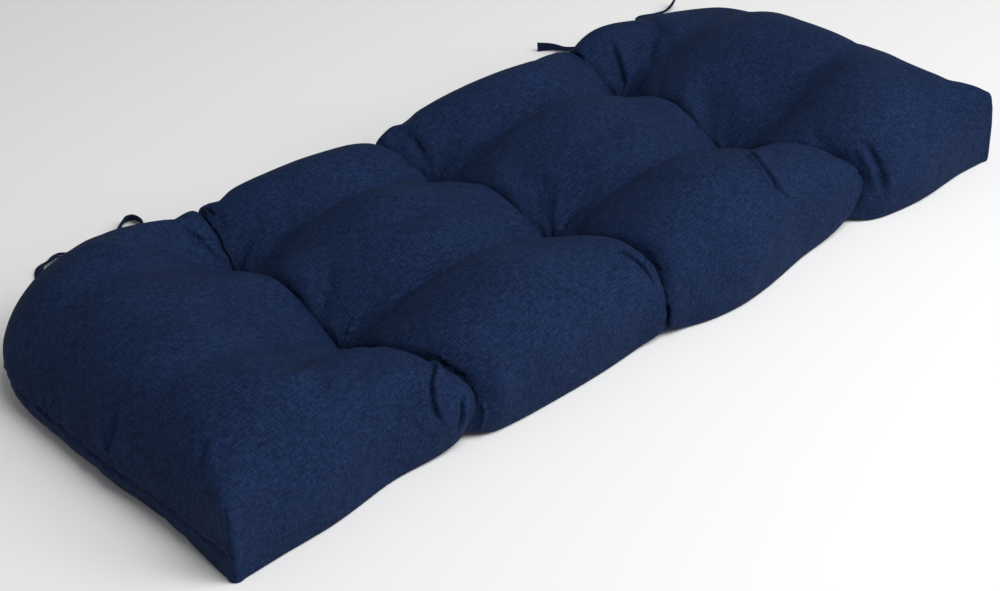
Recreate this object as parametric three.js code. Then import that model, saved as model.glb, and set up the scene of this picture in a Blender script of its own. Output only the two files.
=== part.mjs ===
import * as THREE from 'three';

// A tufted settee cushion for outdoor wicker furniture, lying on its back on a flat surface.
// Millimetres. X runs along the settee, Y from the front edge to the back edge, Z up.
// The origin is in the middle of the underside.

// Driving dimensions of the filled cover.
const LENGTH = 1054;
const DEPTH = 457;
const FULL_CROWN = 127;
const BACK_CORNER_RADIUS = 118;
const END_SWELL = 9;
const FRONT_CORNER_HEIGHT = 88;
const SEAM_HEIGHT = 31;

// The cover rolls over from its crown to the side seam on these radii. At the boxed front
// corners, whose upright seam keeps them square, the radius falls to the smallest one.
const FRONT_ROLL = 90;
const END_ROLL = 60;
const BACK_ROLL = 84;
const BACK_CORNER_ROLL = 92;
const BOXED_CORNER_ROLL = 9;
const BOXED_CORNER_REACH = 150;
const ROLL_FULLNESS = 2.1;

// How far the cover tucks in below the seam, along each side and at the boxed corners.
const FRONT_TUCK = 3;
const BACK_TUCK = 9;
const END_TUCK = 11;
const BOXED_CORNER_TUCK = 1;

// Three columns of tufts. Each column is a crease across the cushion, from the front edge,
// through its two tufts, to the back edge, and these are its places along the settee.
const tuftColumns = [
  { atFront: -276, frontTuft: -276, backTuft: -273, atBack: -260 },
  { atFront: 0, frontTuft: 2, backTuft: -8, atBack: -36 },
  { atFront: 284, frontTuft: 273, backTuft: 277, atBack: 268 },
];

// How far each column's crease draws the front edge and the back edge in, and how much
// shallower than the common profile it is where it meets the back edge.
const creaseEnds = [
  { frontDrawIn: 24, backDrawIn: 5, backLift: 16 },
  { frontDrawIn: 14, backDrawIn: 14, backLift: 0 },
  { frontDrawIn: 24, backDrawIn: 4, backLift: 14 },
];

// Two rows of tufts. Each tuft pulls the cover down into a funnel, and these are the slopes
// of the funnel's sides towards the front edge and towards the back edge.
const tuftRows = [
  { y: -56, frontSlope: 0.58, backSlope: 0.5 },
  { y: 123, frontSlope: 0.5, backSlope: 0.95 },
];

// The bottom of a tuft, and how softly its funnel runs out into the cells.
const TUFT_HEIGHT = 40;
const FUNNEL_BLEND = 14;

// Height of the bottom of a crease along its way from the front edge to the back edge.
const creaseProfile = [
  { y: -228, height: 70 },
  { y: -150, height: 76 },
  { y: -100, height: 68 },
  { y: -56, height: 42 },
  { y: -10, height: 60 },
  { y: 33, height: 66 },
  { y: 78, height: 60 },
  { y: 123, height: 42 },
  { y: 155, height: 68 },
  { y: 190, height: 84 },
  { y: 228, height: 88 },
];

// Height of the crown of the cells, from the middle of the cushion to its ends.
const crownProfile = [
  { fromMiddle: 0, height: FULL_CROWN },
  { fromMiddle: 200, height: 126 },
  { fromMiddle: 380, height: 121 },
  { fromMiddle: 470, height: 114 },
  { fromMiddle: 527, height: 102 },
];

// How far the valley between two rows of cells lies below the crown.
const rowValleyProfile = [
  { fromMiddle: 0, depth: 40 },
  { fromMiddle: 60, depth: 44 },
  { fromMiddle: 137, depth: 47 },
  { fromMiddle: 215, depth: 44 },
  { fromMiddle: 276, depth: 40 },
  { fromMiddle: 320, depth: 29 },
  { fromMiddle: 360, depth: 15 },
  { fromMiddle: 400, depth: 6 },
  { fromMiddle: 450, depth: 1 },
  { fromMiddle: 527, depth: 0 },
];

// Between two tufts a valley bows this far towards the front edge.
const VALLEY_BOW = 15;

// The back row of cells is stuffed flatter than the front one, by this much at the back edge.
const backRowFall = [
  { x: -527, fall: -4 },
  { x: -276, fall: -2 },
  { x: -140, fall: 12 },
  { x: 130, fall: 9 },
  { x: 276, fall: 12 },
  { x: 400, fall: 22 },
  { x: 527, fall: 12 },
];

// A cell swells from its crease to its crown over this distance, and from a valley to its
// crown over these, towards the front and towards the back of the valley.
const CELL_HALF_WIDTH = 132;
const VALLEY_FRONT_SIDE = 130;
const VALLEY_BACK_SIDE = 96;
const CELL_FULLNESS = 2;

// The notch that a crease draws into an edge: a sharp tuck with a bay on either side of it,
// the left one wider, because the cell on the right of a crease bulges over it.
const NOTCH_TUCK_WIDTH = 13;
const NOTCH_LEFT_BAY = 74;
const NOTCH_RIGHT_BAY = 40;
const NOTCH_TUCK_SHARE = 0.45;

// Where along a crease its end at the back begins.
const CREASE_END_START = 150;

// The underside is flat, but for a dimple where each tuft's stitch comes through and a
// slight lift of its edge at each crease.
const UNDER_DIMPLE_DEPTH = 9;
const UNDER_DIMPLE_RADIUS = 34;
const UNDER_LIFT = 7;
const UNDER_LIFT_WIDTH = 34;
const UNDER_LIFT_REACH = 70;

// How finely the cover is cut into facets.
const FACETS_PER_COLUMN = 13;
const FACETS_PER_ROW = 9;
const SIDE_FACETS = 3;

// A tie is a folded cloth tape sewn into the back seam near a rounded corner, with two
// tails. Each tail leaves the seam, sinks to the surface and lies there on its edge.
const TAPE_WIDTH = 12;
const TAPE_THICKNESS = 2.6;
const TAPE_EDGE_CHAMFER = 0.8;
const TAPE_STEP = 14;

// Points that the middle of each tail passes through, from the seam to the free end.
const tieTails = [
  {
    name: 'tie_left_outer',
    route: [
      [-428, 226.64, 31],
      [-429.4, 236.8, 31],
      [-428, 250, 25],
      [-421, 266, 13],
      [-410, 281, 6.8],
      [-395, 294, 6.6],
      [-377, 306, 6.6],
      [-360, 320, 6.6],
      [-350, 335, 6.6],
      [-350, 347, 6.6],
      [-359, 352, 6.6],
      [-370, 346, 6.6],
      [-383, 343, 6.6],
      [-391, 333, 6.6],
      [-396, 320, 6.6],
      [-403, 307, 6.6],
    ],
  },
  {
    name: 'tie_left_inner',
    route: [
      [-412, 228.78, 31],
      [-412.2, 239, 31],
      [-408, 251, 25],
      [-397, 264, 13],
      [-382, 275, 6.8],
      [-363, 286, 6.6],
      [-342, 297, 6.6],
      [-322, 310, 6.6],
      [-303, 326, 6.6],
      [-287, 341, 6.6],
      [-275, 353, 6.6],
      [-265, 361, 6.6],
      [-256, 359, 6.6],
      [-254, 349, 6.6],
      [-257, 337, 6.6],
      [-263, 325, 6.6],
    ],
  },
  {
    name: 'tie_right_inner',
    route: [
      [412, 228.79, 31],
      [412.3, 239, 31],
      [419, 251, 25],
      [433, 261, 13],
      [450, 270, 6.8],
      [466, 283, 6.6],
      [472, 301, 6.6],
      [464, 317, 6.6],
      [447, 323, 6.6],
      [429, 318, 6.6],
      [412, 311, 6.6],
      [395, 313, 6.6],
      [382, 325, 6.6],
      [373, 341, 6.6],
      [358, 356, 6.6],
    ],
  },
  {
    name: 'tie_right_outer',
    route: [
      [428, 226.8, 31],
      [429.4, 237, 31],
      [438, 247, 25],
      [455, 252, 13],
      [474, 254, 6.8],
      [493, 259, 6.6],
      [505, 272, 6.6],
      [503, 289, 6.6],
      [494, 303, 6.6],
      [498, 317, 6.6],
      [513, 323, 6.6],
      [531, 319, 6.6],
      [549, 316, 6.6],
      [565, 320, 6.6],
      [581, 328, 6.6],
    ],
  },
];

const NAVY_CLOTH = 0x1c2944;
const NAVY_TAPE = 0x18233b;

function mix(a, b, t) {
  return a + (b - a) * t;
}

function smoothStep(low, high, value) {
  const t = Math.min(Math.max((value - low) / (high - low), 0), 1);
  return t * t * (3 - 2 * t);
}

// A rounded shoulder: 0 at t = 0, where it is upright, and 1 from t = 1, where it is level.
function shoulder(t, fullness) {
  const rest = 1 - Math.min(Math.max(t, 0), 1);
  return (1 - rest ** fullness) ** (1 / fullness);
}

// The lower of two heights, with a soft change from one to the other.
function softLower(a, b, blend) {
  const overlap = Math.max(blend - Math.abs(a - b), 0) / blend;
  return Math.min(a, b) - (overlap * overlap * blend) / 4;
}

// The value that a table gives at a place, on a smooth curve through its rows.
function readTable(rows, placeName, valueName, place) {
  const last = rows.length - 1;
  const within = Math.min(Math.max(place, rows[0][placeName]), rows[last][placeName]);
  const upper = Math.max(rows.findIndex((row) => row[placeName] >= within), 1);
  const a = rows[upper - 1];
  const b = rows[upper];
  const slope = (from, to) => (to[valueName] - from[valueName]) / (to[placeName] - from[placeName]);
  const span = b[placeName] - a[placeName];
  const rise = b[valueName] - a[valueName];
  const t = (within - a[placeName]) / span;
  const bendFromA = slope(rows[Math.max(upper - 2, 0)], b) * span - rise;
  const bendFromB = rise - slope(a, rows[Math.min(upper + 1, last)]) * span;
  return a[valueName] + rise * t + t * (1 - t) * mix(bendFromA, bendFromB, t);
}

// Where a column's crease runs at a given y.
function creaseX(column, y) {
  const [front, back] = tuftRows;
  const betweenTufts = smoothStep(front.y, back.y, y);
  const toFront = smoothStep(front.y, -DEPTH / 2, y);
  const toBack = smoothStep(back.y, DEPTH / 2, y);
  const along = mix(column.frontTuft, column.backTuft, betweenTufts);
  return along + (column.atFront - column.frontTuft) * toFront + (column.atBack - column.backTuft) * toBack;
}

// How far the valleys bow towards the front: not at the creases, and fully between them.
function valleyBow(x, y) {
  const fromCrease = Math.min(...tuftColumns.map((column) => Math.abs(x - creaseX(column, y))));
  return VALLEY_BOW * smoothStep(0, CELL_HALF_WIDTH, fromCrease);
}

// How far the creases draw an edge in at x.
function notch(x, edgePlace, drawIn) {
  const depths = tuftColumns.map((column, i) => {
    const away = x - column[edgePlace];
    const tuck = NOTCH_TUCK_SHARE * Math.exp(-Math.abs(away) / NOTCH_TUCK_WIDTH);
    const bayWidth = away < 0 ? NOTCH_LEFT_BAY : NOTCH_RIGHT_BAY;
    const bay = (1 - NOTCH_TUCK_SHARE) * Math.exp(-((away / bayWidth) ** 2));
    return creaseEnds[i][drawIn] * (tuck + bay);
  });
  return Math.max(...depths);
}

function frontEdge(x) {
  return -DEPTH / 2 + notch(x, 'atFront', 'frontDrawIn');
}

// The back edge, with its rounded corners.
function backEdge(x) {
  const straight = DEPTH / 2 - notch(x, 'atBack', 'backDrawIn');
  const intoCorner = Math.abs(x) - (LENGTH / 2 - BACK_CORNER_RADIUS);
  if (intoCorner <= 0) return straight;
  const reach = Math.sqrt(Math.max(BACK_CORNER_RADIUS ** 2 - intoCorner ** 2, 0));
  return Math.min(straight, DEPTH / 2 - BACK_CORNER_RADIUS + reach);
}

// Distance inwards from the ends, the back edge and the rounded back corners.
function insetFromEndsAndBack(x, y) {
  const intoCornerX = Math.abs(x) - (LENGTH / 2 - BACK_CORNER_RADIUS);
  const intoCornerY = y - (DEPTH / 2 - BACK_CORNER_RADIUS);
  if (intoCornerX > 0 && intoCornerY > 0) return BACK_CORNER_RADIUS - Math.hypot(intoCornerX, intoCornerY);
  return Math.min(LENGTH / 2 - Math.abs(x), backEdge(x) - y);
}

// How square the cover stands: 1 at a boxed front corner, 0 away from it.
function cornerSquareness(x, y) {
  const fromCorner = Math.hypot(LENGTH / 2 - Math.abs(x), DEPTH / 2 + y);
  return 1 - smoothStep(0, BOXED_CORNER_REACH, fromCorner);
}

// The lowest of the funnels that the tufts pull into the cover.
function funnelHeight(x, y) {
  let lowest = Infinity;
  for (const column of tuftColumns) {
    for (const row of tuftRows) {
      const alongY = y - row.y;
      const away = Math.hypot(x - creaseX(column, row.y), alongY);
      const towardsBack = away > 0 ? smoothStep(-1, 1, alongY / away) : 0;
      lowest = Math.min(lowest, TUFT_HEIGHT + mix(row.frontSlope, row.backSlope, towardsBack) * away);
    }
  }
  return lowest;
}

// Height of the tufted top before it rolls over at the edges.
function tuftedHeight(x, y) {
  let columnRise = 1;
  let backLift = 0;
  tuftColumns.forEach((column, i) => {
    const away = Math.abs(x - creaseX(column, y)) / CELL_HALF_WIDTH;
    columnRise *= shoulder(away, CELL_FULLNESS);
    if (away < 1) backLift = creaseEnds[i].backLift;
  });
  let rowRise = 1;
  for (const row of tuftRows) {
    const beyond = y + valleyBow(x, y) - row.y;
    const side = beyond < 0 ? VALLEY_FRONT_SIDE : VALLEY_BACK_SIDE;
    rowRise *= shoulder(Math.abs(beyond) / side, CELL_FULLNESS);
  }
  const stuffed = readTable(crownProfile, 'fromMiddle', 'height', Math.abs(x));
  const flattened = stuffed - readTable(backRowFall, 'x', 'fall', x) * smoothStep(0, DEPTH / 2, y);
  const crown = mix(flattened, FRONT_CORNER_HEIGHT, cornerSquareness(x, y));
  const valley = readTable(rowValleyProfile, 'fromMiddle', 'depth', Math.abs(x)) * (1 - rowRise);
  const lift = backLift * smoothStep(CREASE_END_START, DEPTH / 2, y);
  const crease = readTable(creaseProfile, 'y', 'height', y) + lift;
  return softLower(mix(crease, crown - valley, columnRise), funnelHeight(x, y), FUNNEL_BLEND);
}

// Roll-over radius along the ends, the back corners and the back edge.
function rollAround(x, y) {
  const cornerStart = LENGTH / 2 - 2 * BACK_CORNER_RADIUS;
  const toCorner = smoothStep(cornerStart, LENGTH / 2 - BACK_CORNER_RADIUS / 2, Math.abs(x));
  return mix(END_ROLL, mix(BACK_ROLL, BACK_CORNER_ROLL, toCorner), smoothStep(0, DEPTH / 2, y));
}

function topHeight(x, y) {
  const square = cornerSquareness(x, y);
  const frontRadius = mix(FRONT_ROLL, BOXED_CORNER_ROLL, square);
  const aroundRadius = mix(rollAround(x, y), BOXED_CORNER_ROLL, square);
  const front = shoulder((y - frontEdge(x)) / frontRadius, ROLL_FULLNESS);
  const around = shoulder(insetFromEndsAndBack(x, y) / aroundRadius, ROLL_FULLNESS);
  return mix(SEAM_HEIGHT, tuftedHeight(x, y), front * around);
}

function undersideHeight(x, y) {
  let height = 0;
  for (const column of tuftColumns) {
    for (const row of tuftRows) {
      const away = Math.hypot(x - creaseX(column, row.y), y - row.y);
      const dimple = 1 - shoulder(away / UNDER_DIMPLE_RADIUS, CELL_FULLNESS);
      height = Math.max(height, UNDER_DIMPLE_DEPTH * dimple);
    }
    const fromEdge = Math.min(y - frontEdge(x), backEdge(x) - y);
    const crease = y < 0 ? column.atFront : column.atBack;
    const nearEdge = 1 - smoothStep(0, UNDER_LIFT_REACH, fromEdge);
    const nearCrease = 1 - smoothStep(0, UNDER_LIFT_WIDTH, Math.abs(x - crease));
    height = Math.max(height, UNDER_LIFT * nearEdge * nearCrease);
  }
  return height;
}

// Draws a plan point in from the sides, for the rounded lower edge and the underside.
function tucked({ x, y }, amount) {
  const square = cornerSquareness(x, y);
  const endTuck = amount * mix(END_TUCK, BOXED_CORNER_TUCK, square);
  const sideTuck = amount * mix(y < 0 ? FRONT_TUCK : BACK_TUCK, BOXED_CORNER_TUCK, square);
  return { x: x * (1 - endTuck / (LENGTH / 2)), y: y * (1 - sideTuck / (DEPTH / 2)) };
}

// The stuffed ends swell outwards between their corners.
function swollenX(x, y) {
  const frontShare = smoothStep(-DEPTH / 2, -DEPTH / 4, y);
  const backShare = 1 - smoothStep(DEPTH / 3, DEPTH / 2, y) / 2;
  const nearEnd = smoothStep(LENGTH / 4, LENGTH / 2, Math.abs(x));
  return x + Math.sign(x) * END_SWELL * frontShare * backShare * nearEnd;
}

// Places from the first knot to the last, close together at every knot.
function bunched(knots, placesPerBay) {
  const places = [];
  for (let bay = 0; bay < knots.length - 1; bay += 1) {
    for (let i = 0; i < placesPerBay; i += 1) {
      places.push(mix(knots[bay], knots[bay + 1], (1 - Math.cos((Math.PI * i) / placesPerBay)) / 2));
    }
  }
  places.push(knots[knots.length - 1]);
  return places;
}

// The grid's line number to x, so that lines 1, 2 and 3 run along the creases.
function lineX(line, y) {
  const knots = [-LENGTH / 2, ...tuftColumns.map((column) => creaseX(column, y)), LENGTH / 2];
  const bay = Math.min(Math.floor(line), knots.length - 2);
  return mix(knots[bay], knots[bay + 1], line - bay);
}

// Plan positions on lines that follow the creases and the outline.
function planGrid() {
  const creaseLines = tuftColumns.map((column, i) => i + 1);
  const lines = bunched([0, ...creaseLines, tuftColumns.length + 1], FACETS_PER_COLUMN);
  const [front, back] = tuftRows.map((row) => row.y / DEPTH + 0.5);
  const rows = bunched([0, front, back, 1], FACETS_PER_ROW);
  return lines.map((line) => rows.map((across) => {
    const nearX = lineX(line, 0);
    const x = lineX(line, mix(frontEdge(nearX), backEdge(nearX), across));
    const y = mix(frontEdge(x), backEdge(x), across);
    const inside = smoothStep(0, front, across) * (1 - smoothStep(back, 1, across));
    return { x, y: y - valleyBow(x, y) * inside };
  }));
}

// The filled cover as one closed surface: the tufted top, the lower side and the underside.
function coverGeometry() {
  const grid = planGrid();
  const lastLine = grid.length - 1;
  const lastRow = grid[0].length - 1;
  const positions = [];
  const triangles = [];
  const addPoint = ({ x, y }, z) => positions.push(swollenX(x, y), y, z) / 3 - 1;
  const addQuad = (a, b, c, d) => triangles.push(a, b, c, a, c, d);

  const top = grid.map((line) => line.map((place) => addPoint(place, topHeight(place.x, place.y))));
  const underside = grid.map((line) => line.map((place) => (
    addPoint(tucked(place, 1), undersideHeight(place.x, place.y)))));
  for (let i = 0; i < lastLine; i += 1) {
    for (let j = 0; j < lastRow; j += 1) {
      addQuad(top[i][j], top[i + 1][j], top[i + 1][j + 1], top[i][j + 1]);
      addQuad(underside[i][j + 1], underside[i + 1][j + 1], underside[i + 1][j], underside[i][j]);
    }
  }

  // The edge of the grid, counter-clockwise seen from above.
  const edge = [];
  for (let i = 0; i < lastLine; i += 1) edge.push([i, 0]);
  for (let j = 0; j < lastRow; j += 1) edge.push([lastLine, j]);
  for (let i = lastLine; i > 0; i -= 1) edge.push([i, lastRow]);
  for (let j = lastRow; j > 0; j -= 1) edge.push([0, j]);

  // The lower side curls in from the seam to the underside.
  const rings = [edge.map(([i, j]) => top[i][j])];
  for (let step = 1; step < SIDE_FACETS; step += 1) {
    const turn = (step / SIDE_FACETS) * (Math.PI / 2);
    rings.push(edge.map(([i, j]) => {
      const place = grid[i][j];
      const floor = undersideHeight(place.x, place.y);
      return addPoint(tucked(place, 1 - Math.cos(turn)), mix(SEAM_HEIGHT, floor, Math.sin(turn)));
    }));
  }
  rings.push(edge.map(([i, j]) => underside[i][j]));
  for (let ring = 0; ring < SIDE_FACETS; ring += 1) {
    const [upper, lower] = [rings[ring], rings[ring + 1]];
    for (let k = 0; k < edge.length; k += 1) {
      const next = (k + 1) % edge.length;
      addQuad(lower[k], lower[next], upper[next], upper[k]);
    }
  }

  const geometry = new THREE.BufferGeometry();
  geometry.setAttribute('position', new THREE.Float32BufferAttribute(positions, 3));
  geometry.setIndex(triangles);
  geometry.computeVertexNormals();
  return geometry;
}

// The tape's section, wide along X and thin along Y, with its four edges eased.
function tapeSection() {
  const halfWidth = TAPE_WIDTH / 2;
  const halfThickness = TAPE_THICKNESS / 2;
  const eased = halfThickness - TAPE_EDGE_CHAMFER;
  const corners = [
    [halfWidth - TAPE_EDGE_CHAMFER, -halfThickness],
    [halfWidth, -eased],
    [halfWidth, eased],
    [halfWidth - TAPE_EDGE_CHAMFER, halfThickness],
    [TAPE_EDGE_CHAMFER - halfWidth, halfThickness],
    [-halfWidth, eased],
    [-halfWidth, -eased],
    [TAPE_EDGE_CHAMFER - halfWidth, -halfThickness],
  ];
  return new THREE.Shape(corners.map(([x, y]) => new THREE.Vector2(x, y)));
}

function tailGeometry(route) {
  const path = new THREE.CatmullRomCurve3(route.map(([x, y, z]) => new THREE.Vector3(x, y, z)));
  const steps = Math.round(path.getLength() / TAPE_STEP);
  return new THREE.ExtrudeGeometry(tapeSection(), { steps, bevelEnabled: false, extrudePath: path });
}

const group = new THREE.Group();

const coverCloth = new THREE.MeshStandardMaterial({ color: NAVY_CLOTH, roughness: 0.9, metalness: 0 });
const cushion = new THREE.Mesh(coverGeometry(), coverCloth);
cushion.name = 'cushion';
group.add(cushion);

for (const { name, route } of tieTails) {
  const tapeCloth = new THREE.MeshStandardMaterial({ color: NAVY_TAPE, roughness: 0.88, metalness: 0 });
  const tail = new THREE.Mesh(tailGeometry(route), tapeCloth);
  tail.name = name;
  group.add(tail);
}

export default group;
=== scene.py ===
import math

import bmesh
import bpy
import numpy as np
from mathutils import Matrix, Vector
from mathutils.bvhtree import BVHTree


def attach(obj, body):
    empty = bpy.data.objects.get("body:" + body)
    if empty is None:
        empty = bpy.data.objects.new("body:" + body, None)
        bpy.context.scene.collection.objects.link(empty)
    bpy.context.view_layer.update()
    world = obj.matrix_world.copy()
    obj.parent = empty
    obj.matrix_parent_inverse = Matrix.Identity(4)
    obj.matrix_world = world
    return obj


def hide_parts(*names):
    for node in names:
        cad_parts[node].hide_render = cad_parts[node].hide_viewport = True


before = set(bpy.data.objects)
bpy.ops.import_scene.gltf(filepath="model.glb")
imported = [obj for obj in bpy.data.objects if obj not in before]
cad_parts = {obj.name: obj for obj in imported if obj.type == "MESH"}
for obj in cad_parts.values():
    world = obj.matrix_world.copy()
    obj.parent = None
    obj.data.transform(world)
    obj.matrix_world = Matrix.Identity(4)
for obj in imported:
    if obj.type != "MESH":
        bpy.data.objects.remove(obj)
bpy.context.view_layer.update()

scene = bpy.context.scene
scene.view_settings.view_transform = "Standard"

# ---- Camera ----
# It stands in front of the cushion's left end and looks down on the tufted face, at the
# photograph's angle.
CAMERA_TARGET = Vector((-0.11379, -0.10602, 0.050))
CAMERA_AZIMUTH = math.radians(-40.14)
CAMERA_ELEVATION = math.radians(32.81)
CAMERA_ROLL = math.radians(-2.56)
CAMERA_DISTANCE = 1.9144
CAMERA_LENS = 69.18

toward_camera = Vector((
    math.sin(CAMERA_AZIMUTH) * math.cos(CAMERA_ELEVATION),
    -math.cos(CAMERA_AZIMUTH) * math.cos(CAMERA_ELEVATION),
    math.sin(CAMERA_ELEVATION),
))
level_right = Vector((math.cos(CAMERA_AZIMUTH), math.sin(CAMERA_AZIMUTH), 0))
level_up = toward_camera.cross(level_right)
right = level_right * math.cos(CAMERA_ROLL) + level_up * math.sin(CAMERA_ROLL)
up = toward_camera.cross(right)
camera_data = bpy.data.cameras.new("camera")
camera_data.lens = CAMERA_LENS
camera_data.sensor_width = 36
camera_data.clip_end = 60
camera = bpy.data.objects.new("camera", camera_data)
scene.collection.objects.link(camera)
place = Matrix((right, up, toward_camera)).transposed().to_4x4()
place.translation = CAMERA_TARGET + toward_camera * CAMERA_DISTANCE
camera.matrix_world = place
scene.camera = camera

# ---- Ties ----
# Two ties of folded and stitched cloth tape, sewn into the back seam near its rounded
# corners. Each has two tails that lie loose behind the cushion, twisting as they go.
TAPE_WIDTH = 0.012
TAPE_THICKNESS = 0.0026
TAPE_STEP = 0.0025
FLOOR_CLEARANCE = 0.0004

# Route of each tail, as in the solids, in metres: x, y, z, and the tape's lean in degrees,
# from 0 where it lies flat to 90 where it stands on its edge.
tie_routes = {
    "tie_left_outer": [
        (-0.4280, 0.22664, 0.0310, 0),
        (-0.4294, 0.2368, 0.0310, 0),
        (-0.4280, 0.2500, 0.0250, 15),
        (-0.4210, 0.2660, 0.0130, 40),
        (-0.4100, 0.2810, 0.0068, 60),
        (-0.3950, 0.2940, 0.0066, 70),
        (-0.3770, 0.3060, 0.0066, 30),
        (-0.3600, 0.3200, 0.0066, 0),
        (-0.3500, 0.3350, 0.0066, -20),
        (-0.3500, 0.3470, 0.0066, -30),
        (-0.3590, 0.3520, 0.0066, -33),
        (-0.3700, 0.3460, 0.0066, -33),
        (-0.3830, 0.3430, 0.0066, -33),
        (-0.3910, 0.3330, 0.0066, -30),
        (-0.3960, 0.3200, 0.0066, -25),
        (-0.4030, 0.3070, 0.0066, -25),
    ],
    "tie_left_inner": [
        (-0.4120, 0.22878, 0.0310, 0),
        (-0.4122, 0.2390, 0.0310, 0),
        (-0.4080, 0.2510, 0.0250, 15),
        (-0.3970, 0.2640, 0.0130, 40),
        (-0.3820, 0.2750, 0.0068, 65),
        (-0.3630, 0.2860, 0.0066, 80),
        (-0.3420, 0.2970, 0.0066, 85),
        (-0.3220, 0.3100, 0.0066, 85),
        (-0.3030, 0.3260, 0.0066, 85),
        (-0.2870, 0.3410, 0.0066, 80),
        (-0.2750, 0.3530, 0.0066, 64),
        (-0.2650, 0.3610, 0.0066, 58),
        (-0.2560, 0.3590, 0.0066, 58),
        (-0.2540, 0.3490, 0.0066, 66),
        (-0.2570, 0.3370, 0.0066, 85),
        (-0.2630, 0.3250, 0.0066, 85),
    ],
    "tie_right_inner": [
        (0.4120, 0.22879, 0.0310, 0),
        (0.4123, 0.2390, 0.0310, 0),
        (0.4190, 0.2510, 0.0250, 15),
        (0.4330, 0.2610, 0.0130, 40),
        (0.4500, 0.2700, 0.0068, 65),
        (0.4660, 0.2830, 0.0066, 80),
        (0.4720, 0.3010, 0.0066, 85),
        (0.4640, 0.3170, 0.0066, 85),
        (0.4470, 0.3230, 0.0066, 85),
        (0.4290, 0.3180, 0.0066, 80),
        (0.4120, 0.3110, 0.0066, 80),
        (0.3950, 0.3130, 0.0066, 120),
        (0.3820, 0.3250, 0.0066, 135),
        (0.3730, 0.3410, 0.0066, 118),
        (0.3580, 0.3560, 0.0066, 90),
    ],
    "tie_right_outer": [
        (0.4280, 0.2268, 0.0310, 0),
        (0.4294, 0.2370, 0.0310, 0),
        (0.4380, 0.2470, 0.0250, 15),
        (0.4550, 0.2520, 0.0130, 40),
        (0.4740, 0.2540, 0.0068, 60),
        (0.4930, 0.2590, 0.0066, 75),
        (0.5050, 0.2720, 0.0066, 80),
        (0.5030, 0.2890, 0.0066, 80),
        (0.4940, 0.3030, 0.0066, 80),
        (0.4980, 0.3170, 0.0066, 80),
        (0.5130, 0.3230, 0.0066, 55),
        (0.5310, 0.3190, 0.0066, 42),
        (0.5490, 0.3160, 0.0066, 40),
        (0.5650, 0.3200, 0.0066, 46),
        (0.5810, 0.3280, 0.0066, 60),
    ],
}

# The tape's section, across its width and its thickness: one long side is a fold, and the
# other shows the slit between the folded edges.
tape_section = [
    (-0.50, 0.00), (-0.49, -0.28), (-0.44, -0.48), (-0.25, -0.50), (0.25, -0.50), (0.44, -0.50),
    (0.50, -0.36), (0.49, -0.10), (0.43, 0.00), (0.49, 0.10), (0.50, 0.36), (0.44, 0.50),
    (0.25, 0.50), (-0.25, 0.50), (-0.44, 0.48), (-0.49, 0.28),
]


def smooth_route(rows, step):
    """Points a step apart on a smooth curve through the rows."""
    rows = np.array(rows, float)
    padded = np.vstack([2 * rows[0] - rows[1], rows, 2 * rows[-1] - rows[-2]])
    points = []
    for a, b, c, d in zip(padded, padded[1:], padded[2:], padded[3:]):
        for t in np.linspace(0, 1, 16, endpoint=False):
            points.append(0.5 * (
                2 * b + (c - a) * t + (2 * a - 5 * b + 4 * c - d) * t**2
                + (3 * b - a - 3 * c + d) * t**3
            ))
    points = np.array(points + [rows[-1]])
    along = np.r_[0, np.cumsum(np.linalg.norm(np.diff(points[:, :3], axis=0), axis=1))]
    places = np.linspace(0, along[-1], round(along[-1] / step) + 1)
    return np.stack([np.interp(places, along, column) for column in points.T], axis=1)


def make_tape(name, rows):
    """A tape that follows the rows, and the middle of each ring of its mesh."""
    route = smooth_route(rows, TAPE_STEP)
    lean = np.radians(route[:, 3])
    half_height = abs(np.sin(lean)) * TAPE_WIDTH / 2 + abs(np.cos(lean)) * TAPE_THICKNESS / 2
    middle = route[:, :3].copy()
    middle[:, 2] = np.where(
        middle[:, 2] > 0.0075, middle[:, 2], half_height + FLOOR_CLEARANCE)
    middle[:, 2] = np.maximum(middle[:, 2], half_height + FLOOR_CLEARANCE)
    tangent = np.gradient(middle, axis=0)
    tangent /= np.linalg.norm(tangent, axis=1)[:, None]
    sideways = np.cross(tangent, (0, 0, 1))
    sideways /= np.linalg.norm(sideways, axis=1)[:, None]
    upwards = np.cross(sideways, tangent)
    across = sideways * np.cos(lean)[:, None] + upwards * np.sin(lean)[:, None]
    through = np.cross(tangent, across)
    mesh = bmesh.new()
    uv = mesh.loops.layers.uv.new("cloth")
    bmesh.ops.create_circle(mesh, segments=len(tape_section), radius=TAPE_WIDTH)
    edges = list(mesh.edges)
    rings = [list(mesh.verts)]
    for _ in middle[1:]:
        made = bmesh.ops.extrude_edge_only(mesh, edges=edges)["geom"]
        fresh = {g for g in made if isinstance(g, bmesh.types.BMVert)}
        edges = [g for g in made if isinstance(g, bmesh.types.BMEdge) and fresh.issuperset(g.verts)]
        rings.append([
            next(e.other_vert(v) for e in v.link_edges if e.other_vert(v) in fresh)
            for v in rings[-1]
        ])
    for ring, m, a, b in zip(rings, middle, across, through):
        for v, (wide, thick) in zip(ring, tape_section):
            v.co = Vector(m + a * wide * TAPE_WIDTH + b * thick * TAPE_THICKNESS)
    for ring in (rings[0], rings[-1]):
        mesh.faces.new(ring)
    bmesh.ops.recalc_face_normals(mesh, faces=mesh.faces)
    index = {v: (i, k) for i, ring in enumerate(rings) for k, v in enumerate(ring)}
    for face in mesh.faces:
        for loop in face.loops:
            i, k = index[loop.vert]
            loop[uv].uv = (i * TAPE_STEP, tape_section[k][0] * TAPE_WIDTH)
    data = bpy.data.meshes.new(name + "_tape")
    mesh.to_mesh(data)
    mesh.free()
    for polygon in data.polygons:
        polygon.use_smooth = True
    tape = bpy.data.objects.new(name + "_tape", data)
    scene.collection.objects.link(tape)
    return tape, middle


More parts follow.
